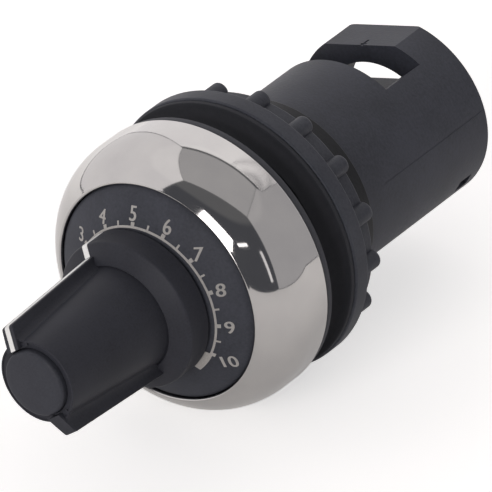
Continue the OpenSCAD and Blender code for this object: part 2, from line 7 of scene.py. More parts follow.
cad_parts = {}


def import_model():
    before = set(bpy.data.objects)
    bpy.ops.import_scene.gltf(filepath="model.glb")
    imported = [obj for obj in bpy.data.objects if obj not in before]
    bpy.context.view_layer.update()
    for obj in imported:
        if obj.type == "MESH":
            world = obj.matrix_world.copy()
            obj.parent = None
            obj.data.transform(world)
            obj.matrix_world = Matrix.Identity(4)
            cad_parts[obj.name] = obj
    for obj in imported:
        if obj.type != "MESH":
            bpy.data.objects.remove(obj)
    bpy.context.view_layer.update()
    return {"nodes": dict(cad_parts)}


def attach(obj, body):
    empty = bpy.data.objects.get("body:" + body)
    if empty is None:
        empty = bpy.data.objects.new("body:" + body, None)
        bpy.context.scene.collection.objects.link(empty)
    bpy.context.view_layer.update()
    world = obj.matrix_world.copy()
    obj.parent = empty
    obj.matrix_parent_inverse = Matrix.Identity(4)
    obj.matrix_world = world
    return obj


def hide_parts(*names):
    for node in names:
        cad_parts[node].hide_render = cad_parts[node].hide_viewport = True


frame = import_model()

# Sizes are written in millimetres and turned to metres when a mesh is finished. Stations are
# places along the axis, which is Y, and the knob is at its low end.
MM = 0.001

# Directions about the axis, in degrees from straight up, clockwise from the front
POINTER = -39.5
DIAL = -12.5
FLAT = -18.7


# Mesh tools


def arc(centre, reach, first, last, steps):
    """Points of an ellipse about a centre, from one angle to another."""
    points = []
    for i in range(steps + 1):
        a = math.radians(first + (last - first) * i / steps)
        points.append((centre[0] + reach[0] * math.cos(a), centre[1] + reach[1] * math.sin(a)))
    return points


def turned(outline, steps=192):
    """Spins an outline of (radius, station) points about the axis."""
    bm = bmesh.new()
    points = [bm.verts.new((r, y, 0)) for r, y in outline]
    sides = []
    for a, b in zip(points, points[1:] + points[:1]):
        if a.co.x > 0 or b.co.x > 0:
            sides.append(bm.edges.new((a, b)))
    bmesh.ops.spin(
        bm, geom=points + sides, cent=(0, 0, 0), axis=(0, 1, 0), angle=math.radians(360),
        steps=steps, use_merge=True)
    bmesh.ops.remove_doubles(bm, verts=bm.verts, dist=1e-5)
    bmesh.ops.recalc_face_normals(bm, faces=bm.faces)
    return bm


def drawn(outline, move):
    """Makes a face from corner points and draws it out to a closed solid along a vector."""
    bm = bmesh.new()
    face = bm.faces.new([bm.verts.new(p) for p in outline])
    grown = bmesh.ops.extrude_face_region(bm, geom=[face], use_keep_orig=True)
    far = [v for v in grown["geom"] if isinstance(v, bmesh.types.BMVert)]
    bmesh.ops.translate(bm, vec=move, verts=far)
    bmesh.ops.recalc_face_normals(bm, faces=bm.faces)
    return bm


def slab(side, width):
    """Makes a slab over the axis from its side view, as (station, height) points."""
    return drawn([(-width / 2, y, z) for y, z in side], (width, 0, 0))


def block(x0, x1, y0, y1, z0, z1):
    """Makes a plain block between two corners, to cut with."""
    bm = bmesh.new()
    bmesh.ops.create_cube(bm, size=1)
    bmesh.ops.scale(bm, vec=(x1 - x0, y1 - y0, z1 - z0), verts=bm.verts)
    bmesh.ops.translate(bm, vec=((x0 + x1) / 2, (y0 + y1) / 2, (z0 + z1) / 2), verts=bm.verts)
    return bm


def soften(bm, width, limit=32, segments=3, where=None):
    """Rounds the edges that are sharper than a limit, or only those that a test picks."""
    edges = []
    for edge in bm.edges:
        if len(edge.link_faces) == 2 and edge.calc_face_angle() > math.radians(limit):
            if where is None or where(edge):
                edges.append(edge)
    bmesh.ops.bevel(
        bm, geom=edges, offset=width, offset_type="OFFSET", segments=segments, profile=0.5,
        affect="EDGES", clamp_overlap=True, material=-1)
    return bm


def before(station):
    """A test for edges that lie nearer to the knob's end than a station."""
    return lambda edge: edge.verts[0].co.y < station


def behind(station):
    """A test for edges that lie nearer to the tube's end than a station."""
    return lambda edge: edge.verts[0].co.y > station


def ring(inner, outer, front, back, rounding):
    """Makes a ring between two radii and two stations, with rounded edges."""
    return soften(turned([(inner, front), (outer, front), (outer, back), (inner, back)]), rounding)


def turn(bm, degrees):
    """Turns a mesh about the axis, clockwise from the front."""
    bmesh.ops.rotate(
        bm, cent=(0, 0, 0), matrix=Matrix.Rotation(math.radians(degrees), 3, "Y"), verts=bm.verts)
    return bm


def gather(*parts):
    """Puts several meshes into one."""
    whole = bmesh.new()
    for bm in parts:
        mesh = bpy.data.meshes.new("part")
        bm.to_mesh(mesh)
        bm.free()
        whole.from_mesh(mesh)
        bpy.data.meshes.remove(mesh)
    return whole


def carved(bm, *cutters):
    """Takes the shapes of the cutters out of a mesh."""
    things = []
    for shape in (bm,) + cutters:
        mesh = bpy.data.meshes.new("shape")
        shape.to_mesh(mesh)
        shape.free()
        thing = bpy.data.objects.new("shape", mesh)
        bpy.context.scene.collection.objects.link(thing)
        things.append(thing)
    body = things[0]
    for cutter in things[1:]:
        cut = body.modifiers.new("cut", "BOOLEAN")
        cut.operation = "DIFFERENCE"
        cut.solver = "EXACT"
        cut.object = cutter
    graph = bpy.context.evaluated_depsgraph_get()
    mesh = bpy.data.meshes.new_from_object(body.evaluated_get(graph))
    result = bmesh.new()
    result.from_mesh(mesh)
    bpy.data.meshes.remove(mesh)
    for thing in things:
        bpy.data.meshes.remove(thing.data)
    return result


def placed(name, bm, material):
    """Turns a mesh in millimetres into an object in metres, at the origin."""
    bmesh.ops.scale(bm, vec=(MM, MM, MM), verts=bm.verts)
    mesh = bpy.data.meshes.new(name)
    bm.to_mesh(mesh)
    bm.free()
    mesh.materials.append(material)
    thing = bpy.data.objects.new(name, mesh)
    bpy.context.scene.collection.objects.link(thing)
    return thing


def finish(name, bm, material, body, slot, *nodes, smooth=40):
    """Makes a finished piece that rides on a body and stands for its CAD nodes."""
    piece = placed(name, bm, material)
    piece.data.shade_smooth()
    piece.data.set_sharp_from_angle(angle=math.radians(smooth))
    even = piece.modifiers.new("even shading", "WEIGHTED_NORMAL")
    even.keep_sharp = True
    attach(piece, body)
    if nodes:
        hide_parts(*nodes)


# Materials


def linear(colour):
    """Turns an sRGB hex colour into the linear colour that a shader works in."""
    parts = [int(colour[i:i + 2], 16) / 255 for i in (1, 3, 5)]
    return [c / 12.92 if c <= 0.04045 else ((c + 0.055) / 1.055) ** 2.4 for c in parts] + [1.0]


def add(tree, kind, values=None, links=None, **settings):
    """Adds a node with its settings, the values of its inputs and the links into them."""
    node = tree.nodes.new(kind)
    for name, value in settings.items():
        setattr(node, name, value)
    for name, value in (values or {}).items():
        node.inputs[name].default_value = value
    for name, source in (links or {}).items():
        tree.links.new(source, node.inputs[name])
    return node


def emptied(owner):
    """Gives a material or the world an empty node tree."""
    owner.use_nodes = True
    owner.node_tree.nodes.clear()
    return owner.node_tree


def start(name, **values):
    """Begins a material: its shader with plain values, and the object's own coordinates."""
    material = bpy.data.materials.new(name)
    tree = emptied(material)
    inputs = {key.replace("_", " "): value for key, value in values.items()}
    shader = add(tree, "ShaderNodeBsdfPrincipled", inputs)
    add(tree, "ShaderNodeOutputMaterial", links={"Surface": shader.outputs["BSDF"]})
    where = add(tree, "ShaderNodeTexCoord").outputs["Object"]
    return material, tree, shader, where


def surface(tree, shader, tint, polish, relief=None):
    """Drives a shader by patterns.

    tint is a pattern, the two values between which it changes the colour, and both colours.
    polish is a pattern and the two roughnesses that its middle range gives.
    relief is a pattern, its depth in millimetres and how strongly it shows.
    """
    pattern, low, high, first, second = tint
    share = add(
        tree, "ShaderNodeMapRange", {"From Min": low, "From Max": high}, {"Value": pattern})
    colour = add(
        tree, "ShaderNodeMix", {"A": linear(first), "B": linear(second)},
        {"Factor": share.outputs["Result"]}, data_type="RGBA")
    tree.links.new(colour.outputs["Result"], shader.inputs["Base Color"])
    pattern, smoothest, roughest = polish
    rough = add(
        tree, "ShaderNodeMapRange",
        {"From Min": 0.3, "From Max": 0.7, "To Min": smoothest, "To Max": roughest},
        {"Value": pattern})
    tree.links.new(rough.outputs["Result"], shader.inputs["Roughness"])
    if relief:
        pattern, depth_mm, strength = relief
        bump = add(
            tree, "ShaderNodeBump", {"Strength": strength, "Distance": depth_mm * MM},
            {"Height": pattern})
        tree.links.new(bump.outputs["Normal"], shader.inputs["Normal"])


def moulded(name, colour, tint, roughness, grain_mm, depth_mm, gloss=0.3, ior=1.53):
    """Moulded thermoplastic: a flow tint over some millimetres and the mould's fine grain."""
    material, tree, shader, where = start(name, IOR=ior, Specular_IOR_Level=gloss)
    flow = add(
        tree, "ShaderNodeTexNoise", {"Scale": 1 / (7 * MM), "Detail": 3, "Roughness": 0.55},
        {"Vector": where}).outputs["Fac"]
    grain = add(
        tree, "ShaderNodeTexNoise", {"Scale": 1 / (grain_mm * MM), "Detail": 2, "Roughness": 0.6},
        {"Vector": where}).outputs["Fac"]
    cloud = add(
        tree, "ShaderNodeMath", None, {0: flow, 1: grain}, operation="ADD").outputs["Value"]
    surface(
        tree, shader, (cloud, 0.75, 1.25, colour, tint),
        (grain, roughness - 0.06, roughness + 0.06), (grain, depth_mm, 1))
    return material


# The grain of all these finishes is drawn coarser than a real mould's, so that it shows.
# Glass-filled polyamide, injection moulded with an eroded finish: satin black with a grey sheen
housing_black = moulded("glass_filled_polyamide", "#36383f", "#43454e", 0.5, 0.3, 0.018, 0.22)
# The same polyamide without glass, a shade lighter, with smoother flanks on the nut
nut_black = moulded("polyamide_nut", "#383a42", "#46484f", 0.5, 0.3, 0.018, 0.22)
# Threaded neck: the same polyamide, darkened to deep black as painted shade for the narrow gap
# behind the nut's collar
neck_painted_shade = moulded("polyamide_painted_shade", "#1b1c1f", "#222327", 0.42, 0.3, 0.01, 0.2)
# Thermoset knob, close and smooth, satin from a polished mould
knob_black = moulded("thermoset_knob", "#303137", "#393a41", 0.48, 0.22, 0.007, 0.16)
# Polyamide cap with a slightly rougher face than the knob
cap_black = moulded("polyamide_cap", "#33343b", "#3d3f46", 0.5, 0.25, 0.008, 0.2)
# Dial plate, matt lacquered polycarbonate with a dusty fine grain
dial_black = moulded("matt_polycarbonate", "#36383f", "#44464e", 0.6, 0.3, 0.01, 0.2, 1.58)
# White thermoplastic of the pointer line, filled and slightly glossy
line_white = moulded("white_thermoplastic", "#f6f6f4", "#efefec", 0.4, 0.3, 0.004, 0.5, 1.5)
# Screen-printing ink: thin, greyish white and matt, uneven where the ink is thin
print_white = moulded("screen_ink", "#b9b6b2", "#a5a29e", 0.62, 0.15, 0.006, 0.4, 1.5)
# Foamed rubber of the panel seal: matt, dark grey and finely pitted
seal_black = moulded("foamed_rubber", "#3f4045", "#494a50", 0.65, 0.25, 0.012, 0.25, 1.52)


def nitrile_rubber():
    """Pressed nitrile rubber: black, matt and speckled, and greyer near the neck as painted light.
    """
    material, tree, shader, where = start("nitrile_rubber", IOR=1.52, Specular_IOR_Level=0.3)
    dust = add(
        tree, "ShaderNodeTexNoise", {"Scale": 1 / (0.35 * MM), "Detail": 4, "Roughness": 0.7},
        {"Vector": where}).outputs["Fac"]
    flat = add(
        tree, "ShaderNodeMapping", {"Scale": (1, 0, 1)}, {"Vector": where}).outputs["Vector"]
    radius = add(
        tree, "ShaderNodeVectorMath", None, {"Vector": flat}, operation="LENGTH").outputs["Value"]
    # Painted light: the colour lightens from the rim in to the neck, where the washer lies in shade
    # deep in the panel gap
    painted_light_near_neck = add(
        tree, "ShaderNodeMapRange",
        {"From Min": 11.4 * MM, "From Max": 14.2 * MM, "To Min": 1, "To Max": 0},
        {"Value": radius}).outputs["Result"]
    speckle_and_painted_light = add(
        tree, "ShaderNodeMath", {1: 0.4}, {0: dust, 2: painted_light_near_neck},
        operation="MULTIPLY_ADD").outputs["Value"]
    surface(
        tree, shader, (speckle_and_painted_light, 0.2, 1.2, "#303136", "#68696e"), (dust, 0.62, 0.8),
        (dust, 0.012, 1))
    return material


def polished_chrome():
    """Bright chromium plate on polished brass: nearly a mirror, with a haze and fine wipes."""
    material, tree, shader, where = start("polished_chrome", Metallic=1.0)
    haze = add(
        tree, "ShaderNodeTexNoise", {"Scale": 1 / (4 * MM), "Detail": 3},
        {"Vector": where}).outputs["Fac"]
    drawn_out = add(
        tree, "ShaderNodeMapping", {"Scale": (0.12, 1, 0.12)}, {"Vector": where})
    wipes = add(
        tree, "ShaderNodeTexNoise", {"Scale": 1 / (0.5 * MM), "Detail": 2},
        {"Vector": drawn_out.outputs["Vector"]}).outputs["Fac"]
    surface(
        tree, shader, (haze, 0.3, 0.7, "#c9c7c5", "#c2c0bf"), (haze, 0.05, 0.085),
        (wipes, 0.0006, 0.35))
    return material


def metal(name, colour, stain, roughness, lines_mm):
    """Turned or stamped metal: fine tool lines across the axis and a little tarnish."""
    material, tree, shader, where = start(name, Metallic=1.0)
    stains = add(
        tree, "ShaderNodeTexNoise", {"Scale": 1 / (2.5 * MM), "Detail": 4},
        {"Vector": where}).outputs["Fac"]
    drawn_out = add(
        tree, "ShaderNodeMapping", {"Scale": (0.1, 1, 0.1)}, {"Vector": where})
    lines = add(
        tree, "ShaderNodeTexNoise", {"Scale": 1 / (lines_mm * MM), "Detail": 2},
        {"Vector": drawn_out.outputs["Vector"]}).outputs["Fac"]
    surface(
        tree, shader, (stains, 0.4, 0.8, colour, stain),
        (lines, roughness - 0.05, roughness + 0.08), (lines, 0.002, 0.6))
    return material


def phenolic_board():
    """Paper phenolic laminate: warm brown with the fibres of the pressed paper."""
    material, tree, shader, where = start("paper_phenolic", IOR=1.6)
    fibres = add(
        tree, "ShaderNodeTexNoise", {"Scale": 1 / (0.8 * MM), "Detail": 5, "Distortion": 1.5},
        {"Vector": where}).outputs["Fac"]
    surface(tree, shader, (fibres, 0.3, 0.7, "#8a5a34", "#6f4527"), (fibres, 0.4, 0.55))
    return material


def carbon_film():
    """Printed carbon film: black, matt and slightly granular."""
    material, tree, shader, where = start("carbon_film", IOR=1.7)
    grains = add(
        tree, "ShaderNodeTexVoronoi", {"Scale": 1 / (0.15 * MM)},
        {"Vector": where}).outputs["Distance"]
    surface(tree, shader, (grains, 0.3, 0.7, "#161618", "#222225"), (grains, 0.5, 0.65))
    return material


rubber_black = nitrile_rubber()
chrome = polished_chrome()

FINISHES = {
    "bezel_chrome": chrome,
    "dial_plastic": dial_black,
    "housing_plastic": housing_black,
    "nut_plastic": nut_black,
    "seal_rubber": rubber_black,
    # Brass, turned and left bare: yellow with a brown tarnish
    "brass_parts": metal("bare_brass", "#c8a25a", "#a8854a", 0.3, 0.2),
    # Zinc-plated steel, stamped and turned: light grey with duller stains
    "plated_steel": metal("zinc_plated_steel", "#b4b6ba", "#9a9c9f", 0.32, 0.25),
    "board_phenolic": phenolic_board(),
    "carbon_track": carbon_film(),
    "knob_plastic": knob_black,
    "cap_plastic": cap_black,
    "white_plastic": line_white,
}
for node in frame["nodes"].values():
    for material_slot in node.material_slots:
        material_slot.material = FINISHES[material_slot.material.name.split(".")[0]]


# Bezel: a quarter ellipse of sheet metal with a straight rim, rolled over to a round lip

BEZEL_R, BEZEL_BACK_Y, BEZEL_WALL = 14.84, -1.0, 1.15
LIP_CENTRE, LIP_ROUND = (11.904, -8.73), 0.22


def bezel_arc(inset, last):
    """The bezel's quarter ellipse from the straight rim towards the front, set inwards."""
    return arc((9.64, -3.3), (5.2 - inset, inset - 6.3), 0, last, 28)


bezel = turned(
    [(BEZEL_R - BEZEL_WALL, BEZEL_BACK_Y), (BEZEL_R, BEZEL_BACK_Y)] + bezel_arc(0, 62.6)
    + arc(LIP_CENTRE, (LIP_ROUND, LIP_ROUND), -69.75, -180, 9)
    + bezel_arc(BEZEL_WALL, 59.4)[::-1], steps=256)
soften(bezel, 0.12, limit=50, where=behind(BEZEL_BACK_Y - 0.1))
finish("chrome_bezel", bezel, chrome, "housing", "bezel_chrome", "bezel_ring")


# Dial: a flat middle with a hub for the shaft and its seal, and a cone out to the rim

DIAL_FLAT_R, DIAL_FLAT_Y = 7.45, -11.0
DIAL_RIM_R, DIAL_RIM_Y = 11.62, -8.87

dial = turned([
    (11.58, -8.6), (10.98, -9.2), (DIAL_FLAT_R, DIAL_FLAT_Y), (2.05, DIAL_FLAT_Y), (2.05, -9.4),
    (3.0, -9.4), (3.0, -6.4), (4.2, -6.4), (4.2, -9.6), (DIAL_FLAT_R, -9.6), (11.58, -7.47)])
soften(dial, 0.1)
finish("dial_face", dial, dial_black, "housing", "dial_plastic", "dial_plate")


# Print on the dial: an arc with ticks and thick ends, and the numbers 0 to 10

INK_FRONT, INK_BACK = -0.018, 0.02
UNIT, HALF_SCALE, SCALE_END = 25, 125, 144.5
ARC_IN, ARC_OUT = 8.1, 8.3
NUMBER_H, NUMBER_DROP = 1.4, 0.17
CAPITAL_SHARE = 0.72
LONGEST_EDGE = 0.35


def dial_station(radius):
    """Station of the dial's front surface at a radius."""
    slope = (DIAL_RIM_Y - DIAL_FLAT_Y) / (DIAL_RIM_R - DIAL_FLAT_R)
    return DIAL_FLAT_Y + max(0, radius - DIAL_FLAT_R) * slope


def under(v):
    """Station of the dial's front surface under a corner of the print."""
    return dial_station(math.hypot(v.co.x, v.co.z))


def printed_band(inner, outer, first, last):
    """A thin layer of ink on the dial between two radii and two directions."""
    front = [(r, dial_station(r) + INK_FRONT) for r in (inner, outer)]
    back = [(r, dial_station(r) + INK_BACK) for r in (outer, inner)]
    bm = bmesh.new()
    face = bm.faces.new([bm.verts.new((r, y, 0)) for r, y in front + back])
    bmesh.ops.spin(
        bm, geom=[face], cent=(0, 0, 0), axis=(0, 1, 0), angle=math.radians(last - first),
        steps=max(2, int((last - first) / 2)))
    bmesh.ops.recalc_face_normals(bm, faces=bm.faces)
    return turn(bm, first - 90)


def laid(bm, across, up):
    """Moves print sideways on the dial, which was printed a little off centre."""
    lift = {v: v.co.y - under(v) for v in bm.verts}
    bmesh.ops.translate(bm, vec=(across, 0, up), verts=bm.verts)
    for v in bm.verts:
        v.co.y = under(v) + lift[v]
    return bm


def printed_number(text, direction, radius, shift, ink_front):
    """One number of the scale, upright on the dial, as a thin layer of ink on its cone."""
    curve = bpy.data.curves.new("number", "FONT")
    curve.body = text
    curve.align_x = "CENTER"
    curve.align_y = "CENTER"
    curve.size = NUMBER_H / CAPITAL_SHARE
    curve.resolution_u = 6
    letters = bpy.data.objects.new("number", curve)
    bpy.context.scene.collection.objects.link(letters)
    graph = bpy.context.evaluated_depsgraph_get()
    mesh = bpy.data.meshes.new_from_object(letters.evaluated_get(graph))
    bpy.data.objects.remove(letters)
    bpy.data.curves.remove(curve)
    bm = bmesh.new()
    bm.from_mesh(mesh)
    bpy.data.meshes.remove(mesh)
    bmesh.ops.remove_doubles(bm, verts=bm.verts, dist=1e-4)
    across = [v.co.x for v in bm.verts]
    up = [v.co.y for v in bm.verts]
    middle = ((min(across) + max(across)) / 2, (min(up) + max(up)) / 2)
    bmesh.ops.translate(bm, vec=(shift - middle[0], -middle[1] - NUMBER_DROP, 0), verts=bm.verts)
    for _ in range(2):
        long_edges = [e for e in bm.edges if e.calc_length() > LONGEST_EDGE]
        bmesh.ops.subdivide_edges(bm, edges=long_edges, cuts=1)
        bmesh.ops.triangulate(bm, faces=bm.faces)
    upright = Matrix.Rotation(math.radians(90), 3, "X")
    bmesh.ops.rotate(bm, cent=(0, 0, 0), matrix=upright, verts=bm.verts)
    turn(bm, DIAL)
    a = math.radians(direction)
    bmesh.ops.translate(bm, vec=(radius * math.sin(a), 0, radius * math.cos(a)), verts=bm.verts)
    grown = bmesh.ops.extrude_face_region(bm, geom=bm.faces[:], use_keep_orig=True)
    back = {v for v in grown["geom"] if isinstance(v, bmesh.types.BMVert)}
    for v in bm.verts:
        v.co.y = under(v) + (INK_BACK if v in back else ink_front)
    bmesh.ops.recalc_face_normals(bm, faces=bm.faces)
    return bm


scale = [printed_band(ARC_IN, ARC_OUT, DIAL - HALF_SCALE, DIAL + HALF_SCALE)]
for side in (-1, 1):
    ends = sorted((DIAL + side * HALF_SCALE, DIAL + side * SCALE_END))
    scale.append(printed_band(7.65, 8.38, *ends))
for halves in range(21):
    middle = DIAL + UNIT / 2 * halves - HALF_SCALE
    width, tip = (0.42, 8.64) if halves % 2 == 0 else (0.2, 8.72)
    half = math.degrees(width / 8.4) / 2
    scale.append(printed_band(ARC_IN, tip, middle - half, middle + half))
finish("printed_scale", laid(gather(*scale), 0.16, -0.1), print_white, "housing", "white_plastic")

# Two passes of ink, a little apart and one on the other, give the numbers their heavy strokes
numbers = []
for n in range(11):
    radius = 10.0 if n == 10 else 9.48
    for shift, ink_front in ((-0.035, INK_FRONT), (0.035, -0.022)):
        direction = DIAL + UNIT * n - HALF_SCALE
        numbers.append(printed_number(str(n), direction, radius, shift, ink_front))
numbers = laid(gather(*numbers), 0.07, -0.03)
finish("printed_numbers", numbers, print_white, "housing", "white_plastic")


# Knob: a tapering barrel on a skirt with a low cone, and two wings with fillets

BARREL_REAR_R, BARREL_REAR_Y = 5.5, -14.8
BARREL_FRONT_R, BARREL_FRONT_Y = 4.35, -28.15
TAPER = (BARREL_REAR_R - BARREL_FRONT_R) / (BARREL_REAR_Y - BARREL_FRONT_Y)
SKIRT_R, SKIRT_BACK_Y = 7.95, -11.2
WING_W, WING_BACK_Y = 1.65, -12.4
WING_FOOT_Y, WING_FOOT_Z = -28.75, 3.72
CORNER_ROUND = 0.4
FILLET_R, FILLET_LEN = 1.1, 15.75


def ridge(y):
    """Height of a wing's ridge at a station."""
    return 6.68 - 0.63 * (BARREL_REAR_Y - y) / 13.2


def wing_front(lift):
    """Side view of the wing's rounded corner and leaning front, as (station, height) points."""
    corner_round = CORNER_ROUND + lift
    corner = arc((-27.6, 5.66), (corner_round, corner_round), 90, 161, 8)
    lean = math.atan2(0.75, 2.15)
    return corner + [(WING_FOOT_Y - lift * math.cos(lean), WING_FOOT_Z)]


def along_outline(edge):
    """A test for the edges along a wing's outline, apart from those at its foot."""
    a, b = edge.verts
    return abs(a.co.x - b.co.x) < 0.01 and min(a.co.z, b.co.z) > 3.8


def at_tip(edge):
    """A test for the front edges of a fillet."""
    a, b = edge.verts
    return max(a.co.y, b.co.y) < -28 and min(a.co.z, b.co.z) > 3.75


def wing():
    """The upright wing: a slab with a hollow fillet down each side to the barrel."""
    side = [(WING_BACK_Y, 4.6), (WING_BACK_Y, ridge(WING_BACK_Y))]
    side += wing_front(0) + [(-28.0, WING_FOOT_Z)]
    parts = [soften(slab(side, WING_W), 0.16, where=along_outline)]
    hollow = arc((1.925, 6.156), (FILLET_R, FILLET_R), 180, 252.6, 10)
    section = [(0.5, 4.75), (0.5, 6.2)] + hollow + [(1.596, 4.75)]
    for hand in (-1, 1):
        back = [(hand * x, WING_BACK_Y, z + 0.2066) for x, z in section]
        strip = drawn(back, (0, -FILLET_LEN, 0))
        for v in strip.verts:
            if v.co.y < WING_BACK_Y - 1:
                v.co.z -= FILLET_LEN * TAPER
        parts.append(soften(strip, 0.1, limit=60, where=at_tip))
    return gather(*parts)


def on_skirt_edge(edge):
    """A test for the edges round the front of the skirt's side."""
    corner = edge.verts[0].co
    return math.hypot(corner.x, corner.z) > SKIRT_R - 0.05 and corner.y < -13


# From the bore over the back of the skirt, its side and cone, a shallow moulding groove at the
# foot of the barrel, and the barrel, to the seat of the cap and the pocket for the collet's nut
body = turned([
    (2.85, SKIRT_BACK_Y), (4.0, SKIRT_BACK_Y), (4.0, -12.4), (6.75, -12.4), (6.75, SKIRT_BACK_Y),
    (SKIRT_R, SKIRT_BACK_Y), (SKIRT_R, -13.86), (5.78, -14.7), (5.62, -14.56),
    (BARREL_REAR_R, BARREL_REAR_Y), (BARREL_FRONT_R, BARREL_FRONT_Y), (4.15, BARREL_FRONT_Y),
    (4.15, -28.02), (3.55, -28.02), (3.55, -27.0), (3.3, -27.0), (3.3, -24.55), (2.85, -24.55)])
soften(body, 0.2, limit=20, where=on_skirt_edge)
soften(body, 0.1, limit=40, where=before(-28))
knob = turn(gather(body, wing(), turn(wing(), 180)), POINTER)
finish("knob_shell", knob, knob_black, "rotor", "knob_plastic", "knob_body")

# The cap's face is very slightly domed
cap = turned([
    (0, -28.8), (2.6, -28.78), (3.5, -28.68), (3.5, -26.4), (2.5, -26.4), (2.5, -27.8), (0, -27.8)])
soften(cap, 0.3, segments=5, where=before(-28.5))
finish("knob_end_cap", cap, cap_black, "rotor", "cap_plastic", "knob_cap")


# White lines: along the pointer's ridge, down its front, and across the skirt in line with it

LINE_BACK_Y, LINE_FRONT_Y = -14.4, -27.4
RIDGE_LINE_W, FRONT_LINE_W, MARK_W = 0.72, 0.64, 0.75
LINE_LIFT, LINE_SUNK = 0.02, 0.4
MARK_LIFT, MARK_BACK_Y = 0.025, -11.22

ridge_line = slab([
    (LINE_BACK_Y, ridge(LINE_BACK_Y) - LINE_SUNK), (LINE_BACK_Y, ridge(LINE_BACK_Y) + LINE_LIFT),
    (LINE_FRONT_Y, ridge(LINE_FRONT_Y) + LINE_LIFT),
    (LINE_FRONT_Y, ridge(LINE_FRONT_Y) - LINE_SUNK)], RIDGE_LINE_W)
front_line = slab(
    [(LINE_FRONT_Y, ridge(LINE_FRONT_Y) + LINE_LIFT)] + wing_front(LINE_LIFT)
    + [(-28.3, WING_FOOT_Z), (-27.6, 5.5), (LINE_FRONT_Y, 5.6)], FRONT_LINE_W)
lines = turn(gather(ridge_line, front_line), POINTER)
finish("ridge_line", lines, line_white, "rotor", "white_plastic", "pointer_inlay")

over_skirt = ((-14.33, 6.72), (-13.96, 7.68), (-13.87, 7.84), (-13.7, SKIRT_R))
mark = [(y - MARK_LIFT, z + MARK_LIFT) for y, z in over_skirt]
mark += [(MARK_BACK_Y, 7.965), (MARK_BACK_Y, 7.6), (-13.5, 7.6), (-14.0, 6.72)]
mark_line = turn(slab(mark, MARK_W), POINTER)
finish("mark_line", mark_line, line_white, "rotor", "white_plastic", "skirt_mark")


# Seal, washer and ring nut

NUT_BORE_R, COLLAR_R = 11.05, 13.35
LUG_R, LUG_COUNT = 1, 16
LUG_FRONT_Y, LUG_BACK_Y = 5.8, 8.7

seal = ring(11.0, 14.7, BEZEL_BACK_Y, 0, 0.25)
finish("panel_gasket", seal, seal_black, "housing", "seal_rubber", "panel_seal")

washer = ring(NUT_BORE_R, 14.63, 3.3, 3.8, 0.12)
finish("nut_gasket", washer, rubber_black, "housing", "seal_rubber", "nut_washer")


def grip_lug():
    """A half-round lug that stands out of the collar, rounded at its free end."""
    bm = bmesh.new()
    middle = Matrix.Translation((0, (LUG_FRONT_Y + LUG_BACK_Y) / 2, COLLAR_R))
    bmesh.ops.create_cone(
        bm, cap_ends=True, segments=32, radius1=LUG_R, radius2=LUG_R,
        depth=LUG_BACK_Y - LUG_FRONT_Y, matrix=middle @ Matrix.Rotation(math.radians(90), 4, "X"))
    return soften(bm, 0.42, limit=60, segments=5, where=behind(LUG_BACK_Y - 0.1))


flange = ring(NUT_BORE_R, 14.83, 3.8, 5.8, 0.22)
collar = ring(NUT_BORE_R, COLLAR_R, 5.0, 8.55, 0.24)
lugs = [turn(grip_lug(), 360 / LUG_COUNT * i) for i in range(LUG_COUNT)]
nut = gather(flange, collar, *lugs)
finish("locking_nut", nut, nut_black, "housing", "nut_plastic", "ring_nut")


# Front housing: only its threaded neck is seen

PITCH, TURNS, STEPS_PER_TURN = 1.5, 6.4, 72

# From the bore of the neck over its end and its core to the head inside the bezel and the dial
neck = turned([
    (9.93, 2.0), (9.93, 12.3), (10.75, 12.3), (10.75, 9.1), (10.5, 8.85), (10.5, -1.0),
    (13.65, -1.0), (13.65, -3.3), (13.3, -5.4), (12.4, -6.9), (11.7, -7.3), (7.45, -9.5),
    (7.0, -9.5), (7.0, -0.3), (3.55, -0.3), (3.55, 2.0)])
soften(neck, 0.1, where=behind(8))


def thread():
    """The thread of the neck, as one wedge-shaped ridge that is wound round it."""
    bm = bmesh.new()
    section = ((10.4, -1.2, 0), (10.98, -0.62, 0), (10.98, -0.45, 0), (10.4, 0.13, 0))
    face = bm.faces.new([bm.verts.new(p) for p in section])
    bmesh.ops.spin(
        bm, geom=[face], cent=(0, 0, 0), axis=(0, 1, 0), dvec=(0, PITCH / STEPS_PER_TURN, 0),
        angle=math.radians(360 * TURNS), steps=int(TURNS * STEPS_PER_TURN))
    bmesh.ops.recalc_face_normals(bm, faces=bm.faces)
    return bm


neck = gather(neck, thread())
# The neck is drawn in the polyamide that is darkened as painted shade for the gap behind the collar
finish("threaded_neck", neck, neck_painted_shade, "housing", "housing_plastic", "front_housing")


# Rear housing: a tube with a window, and an arch with a flat on top

TUBE_R, TUBE_FRONT_Y, TUBE_BACK_Y = 9.88, 2.2, 33.2
FRONT_BORE_R, CHANNEL_R = 8.43, 6.9
WINDOW_FRONT_Y, WINDOW_LEN = 22.9, 5.7
SILL_T, SILL_Z, SILL_SLOPE = 4.3, 5.4, 27
FLAT_Z = 8.78
CARVED_Z = 8.68
OUTSIDE = 20

tube = turned([
    (FRONT_BORE_R, TUBE_FRONT_Y), (TUBE_R, TUBE_FRONT_Y), (TUBE_R, TUBE_BACK_Y),
    (CHANNEL_R, TUBE_BACK_Y), (CHANNEL_R, 22.4), (0, 22.4), (0, 21.0), (FRONT_BORE_R, 21.0)],
    steps=144)
soften(tube, 0.28, limit=60, where=behind(TUBE_BACK_Y - 0.2))
sill_top = SILL_Z + math.tan(math.radians(SILL_SLOPE)) * (OUTSIDE - SILL_T)
window = drawn([
    (-SILL_T, WINDOW_FRONT_Y, SILL_Z), (SILL_T, WINDOW_FRONT_Y, SILL_Z),
    (OUTSIDE, WINDOW_FRONT_Y, sill_top), (OUTSIDE, WINDOW_FRONT_Y, 30),
    (-OUTSIDE, WINDOW_FRONT_Y, 30), (-OUTSIDE, WINDOW_FRONT_Y, sill_top)], (0, WINDOW_LEN, 0))
flat_cut = block(-OUTSIDE, OUTSIDE, WINDOW_FRONT_Y, 40, FLAT_Z, 12)
latch_slot = turn(block(-0.8, 0.8, 29.4, 31.3, 5.9, 12), 136)
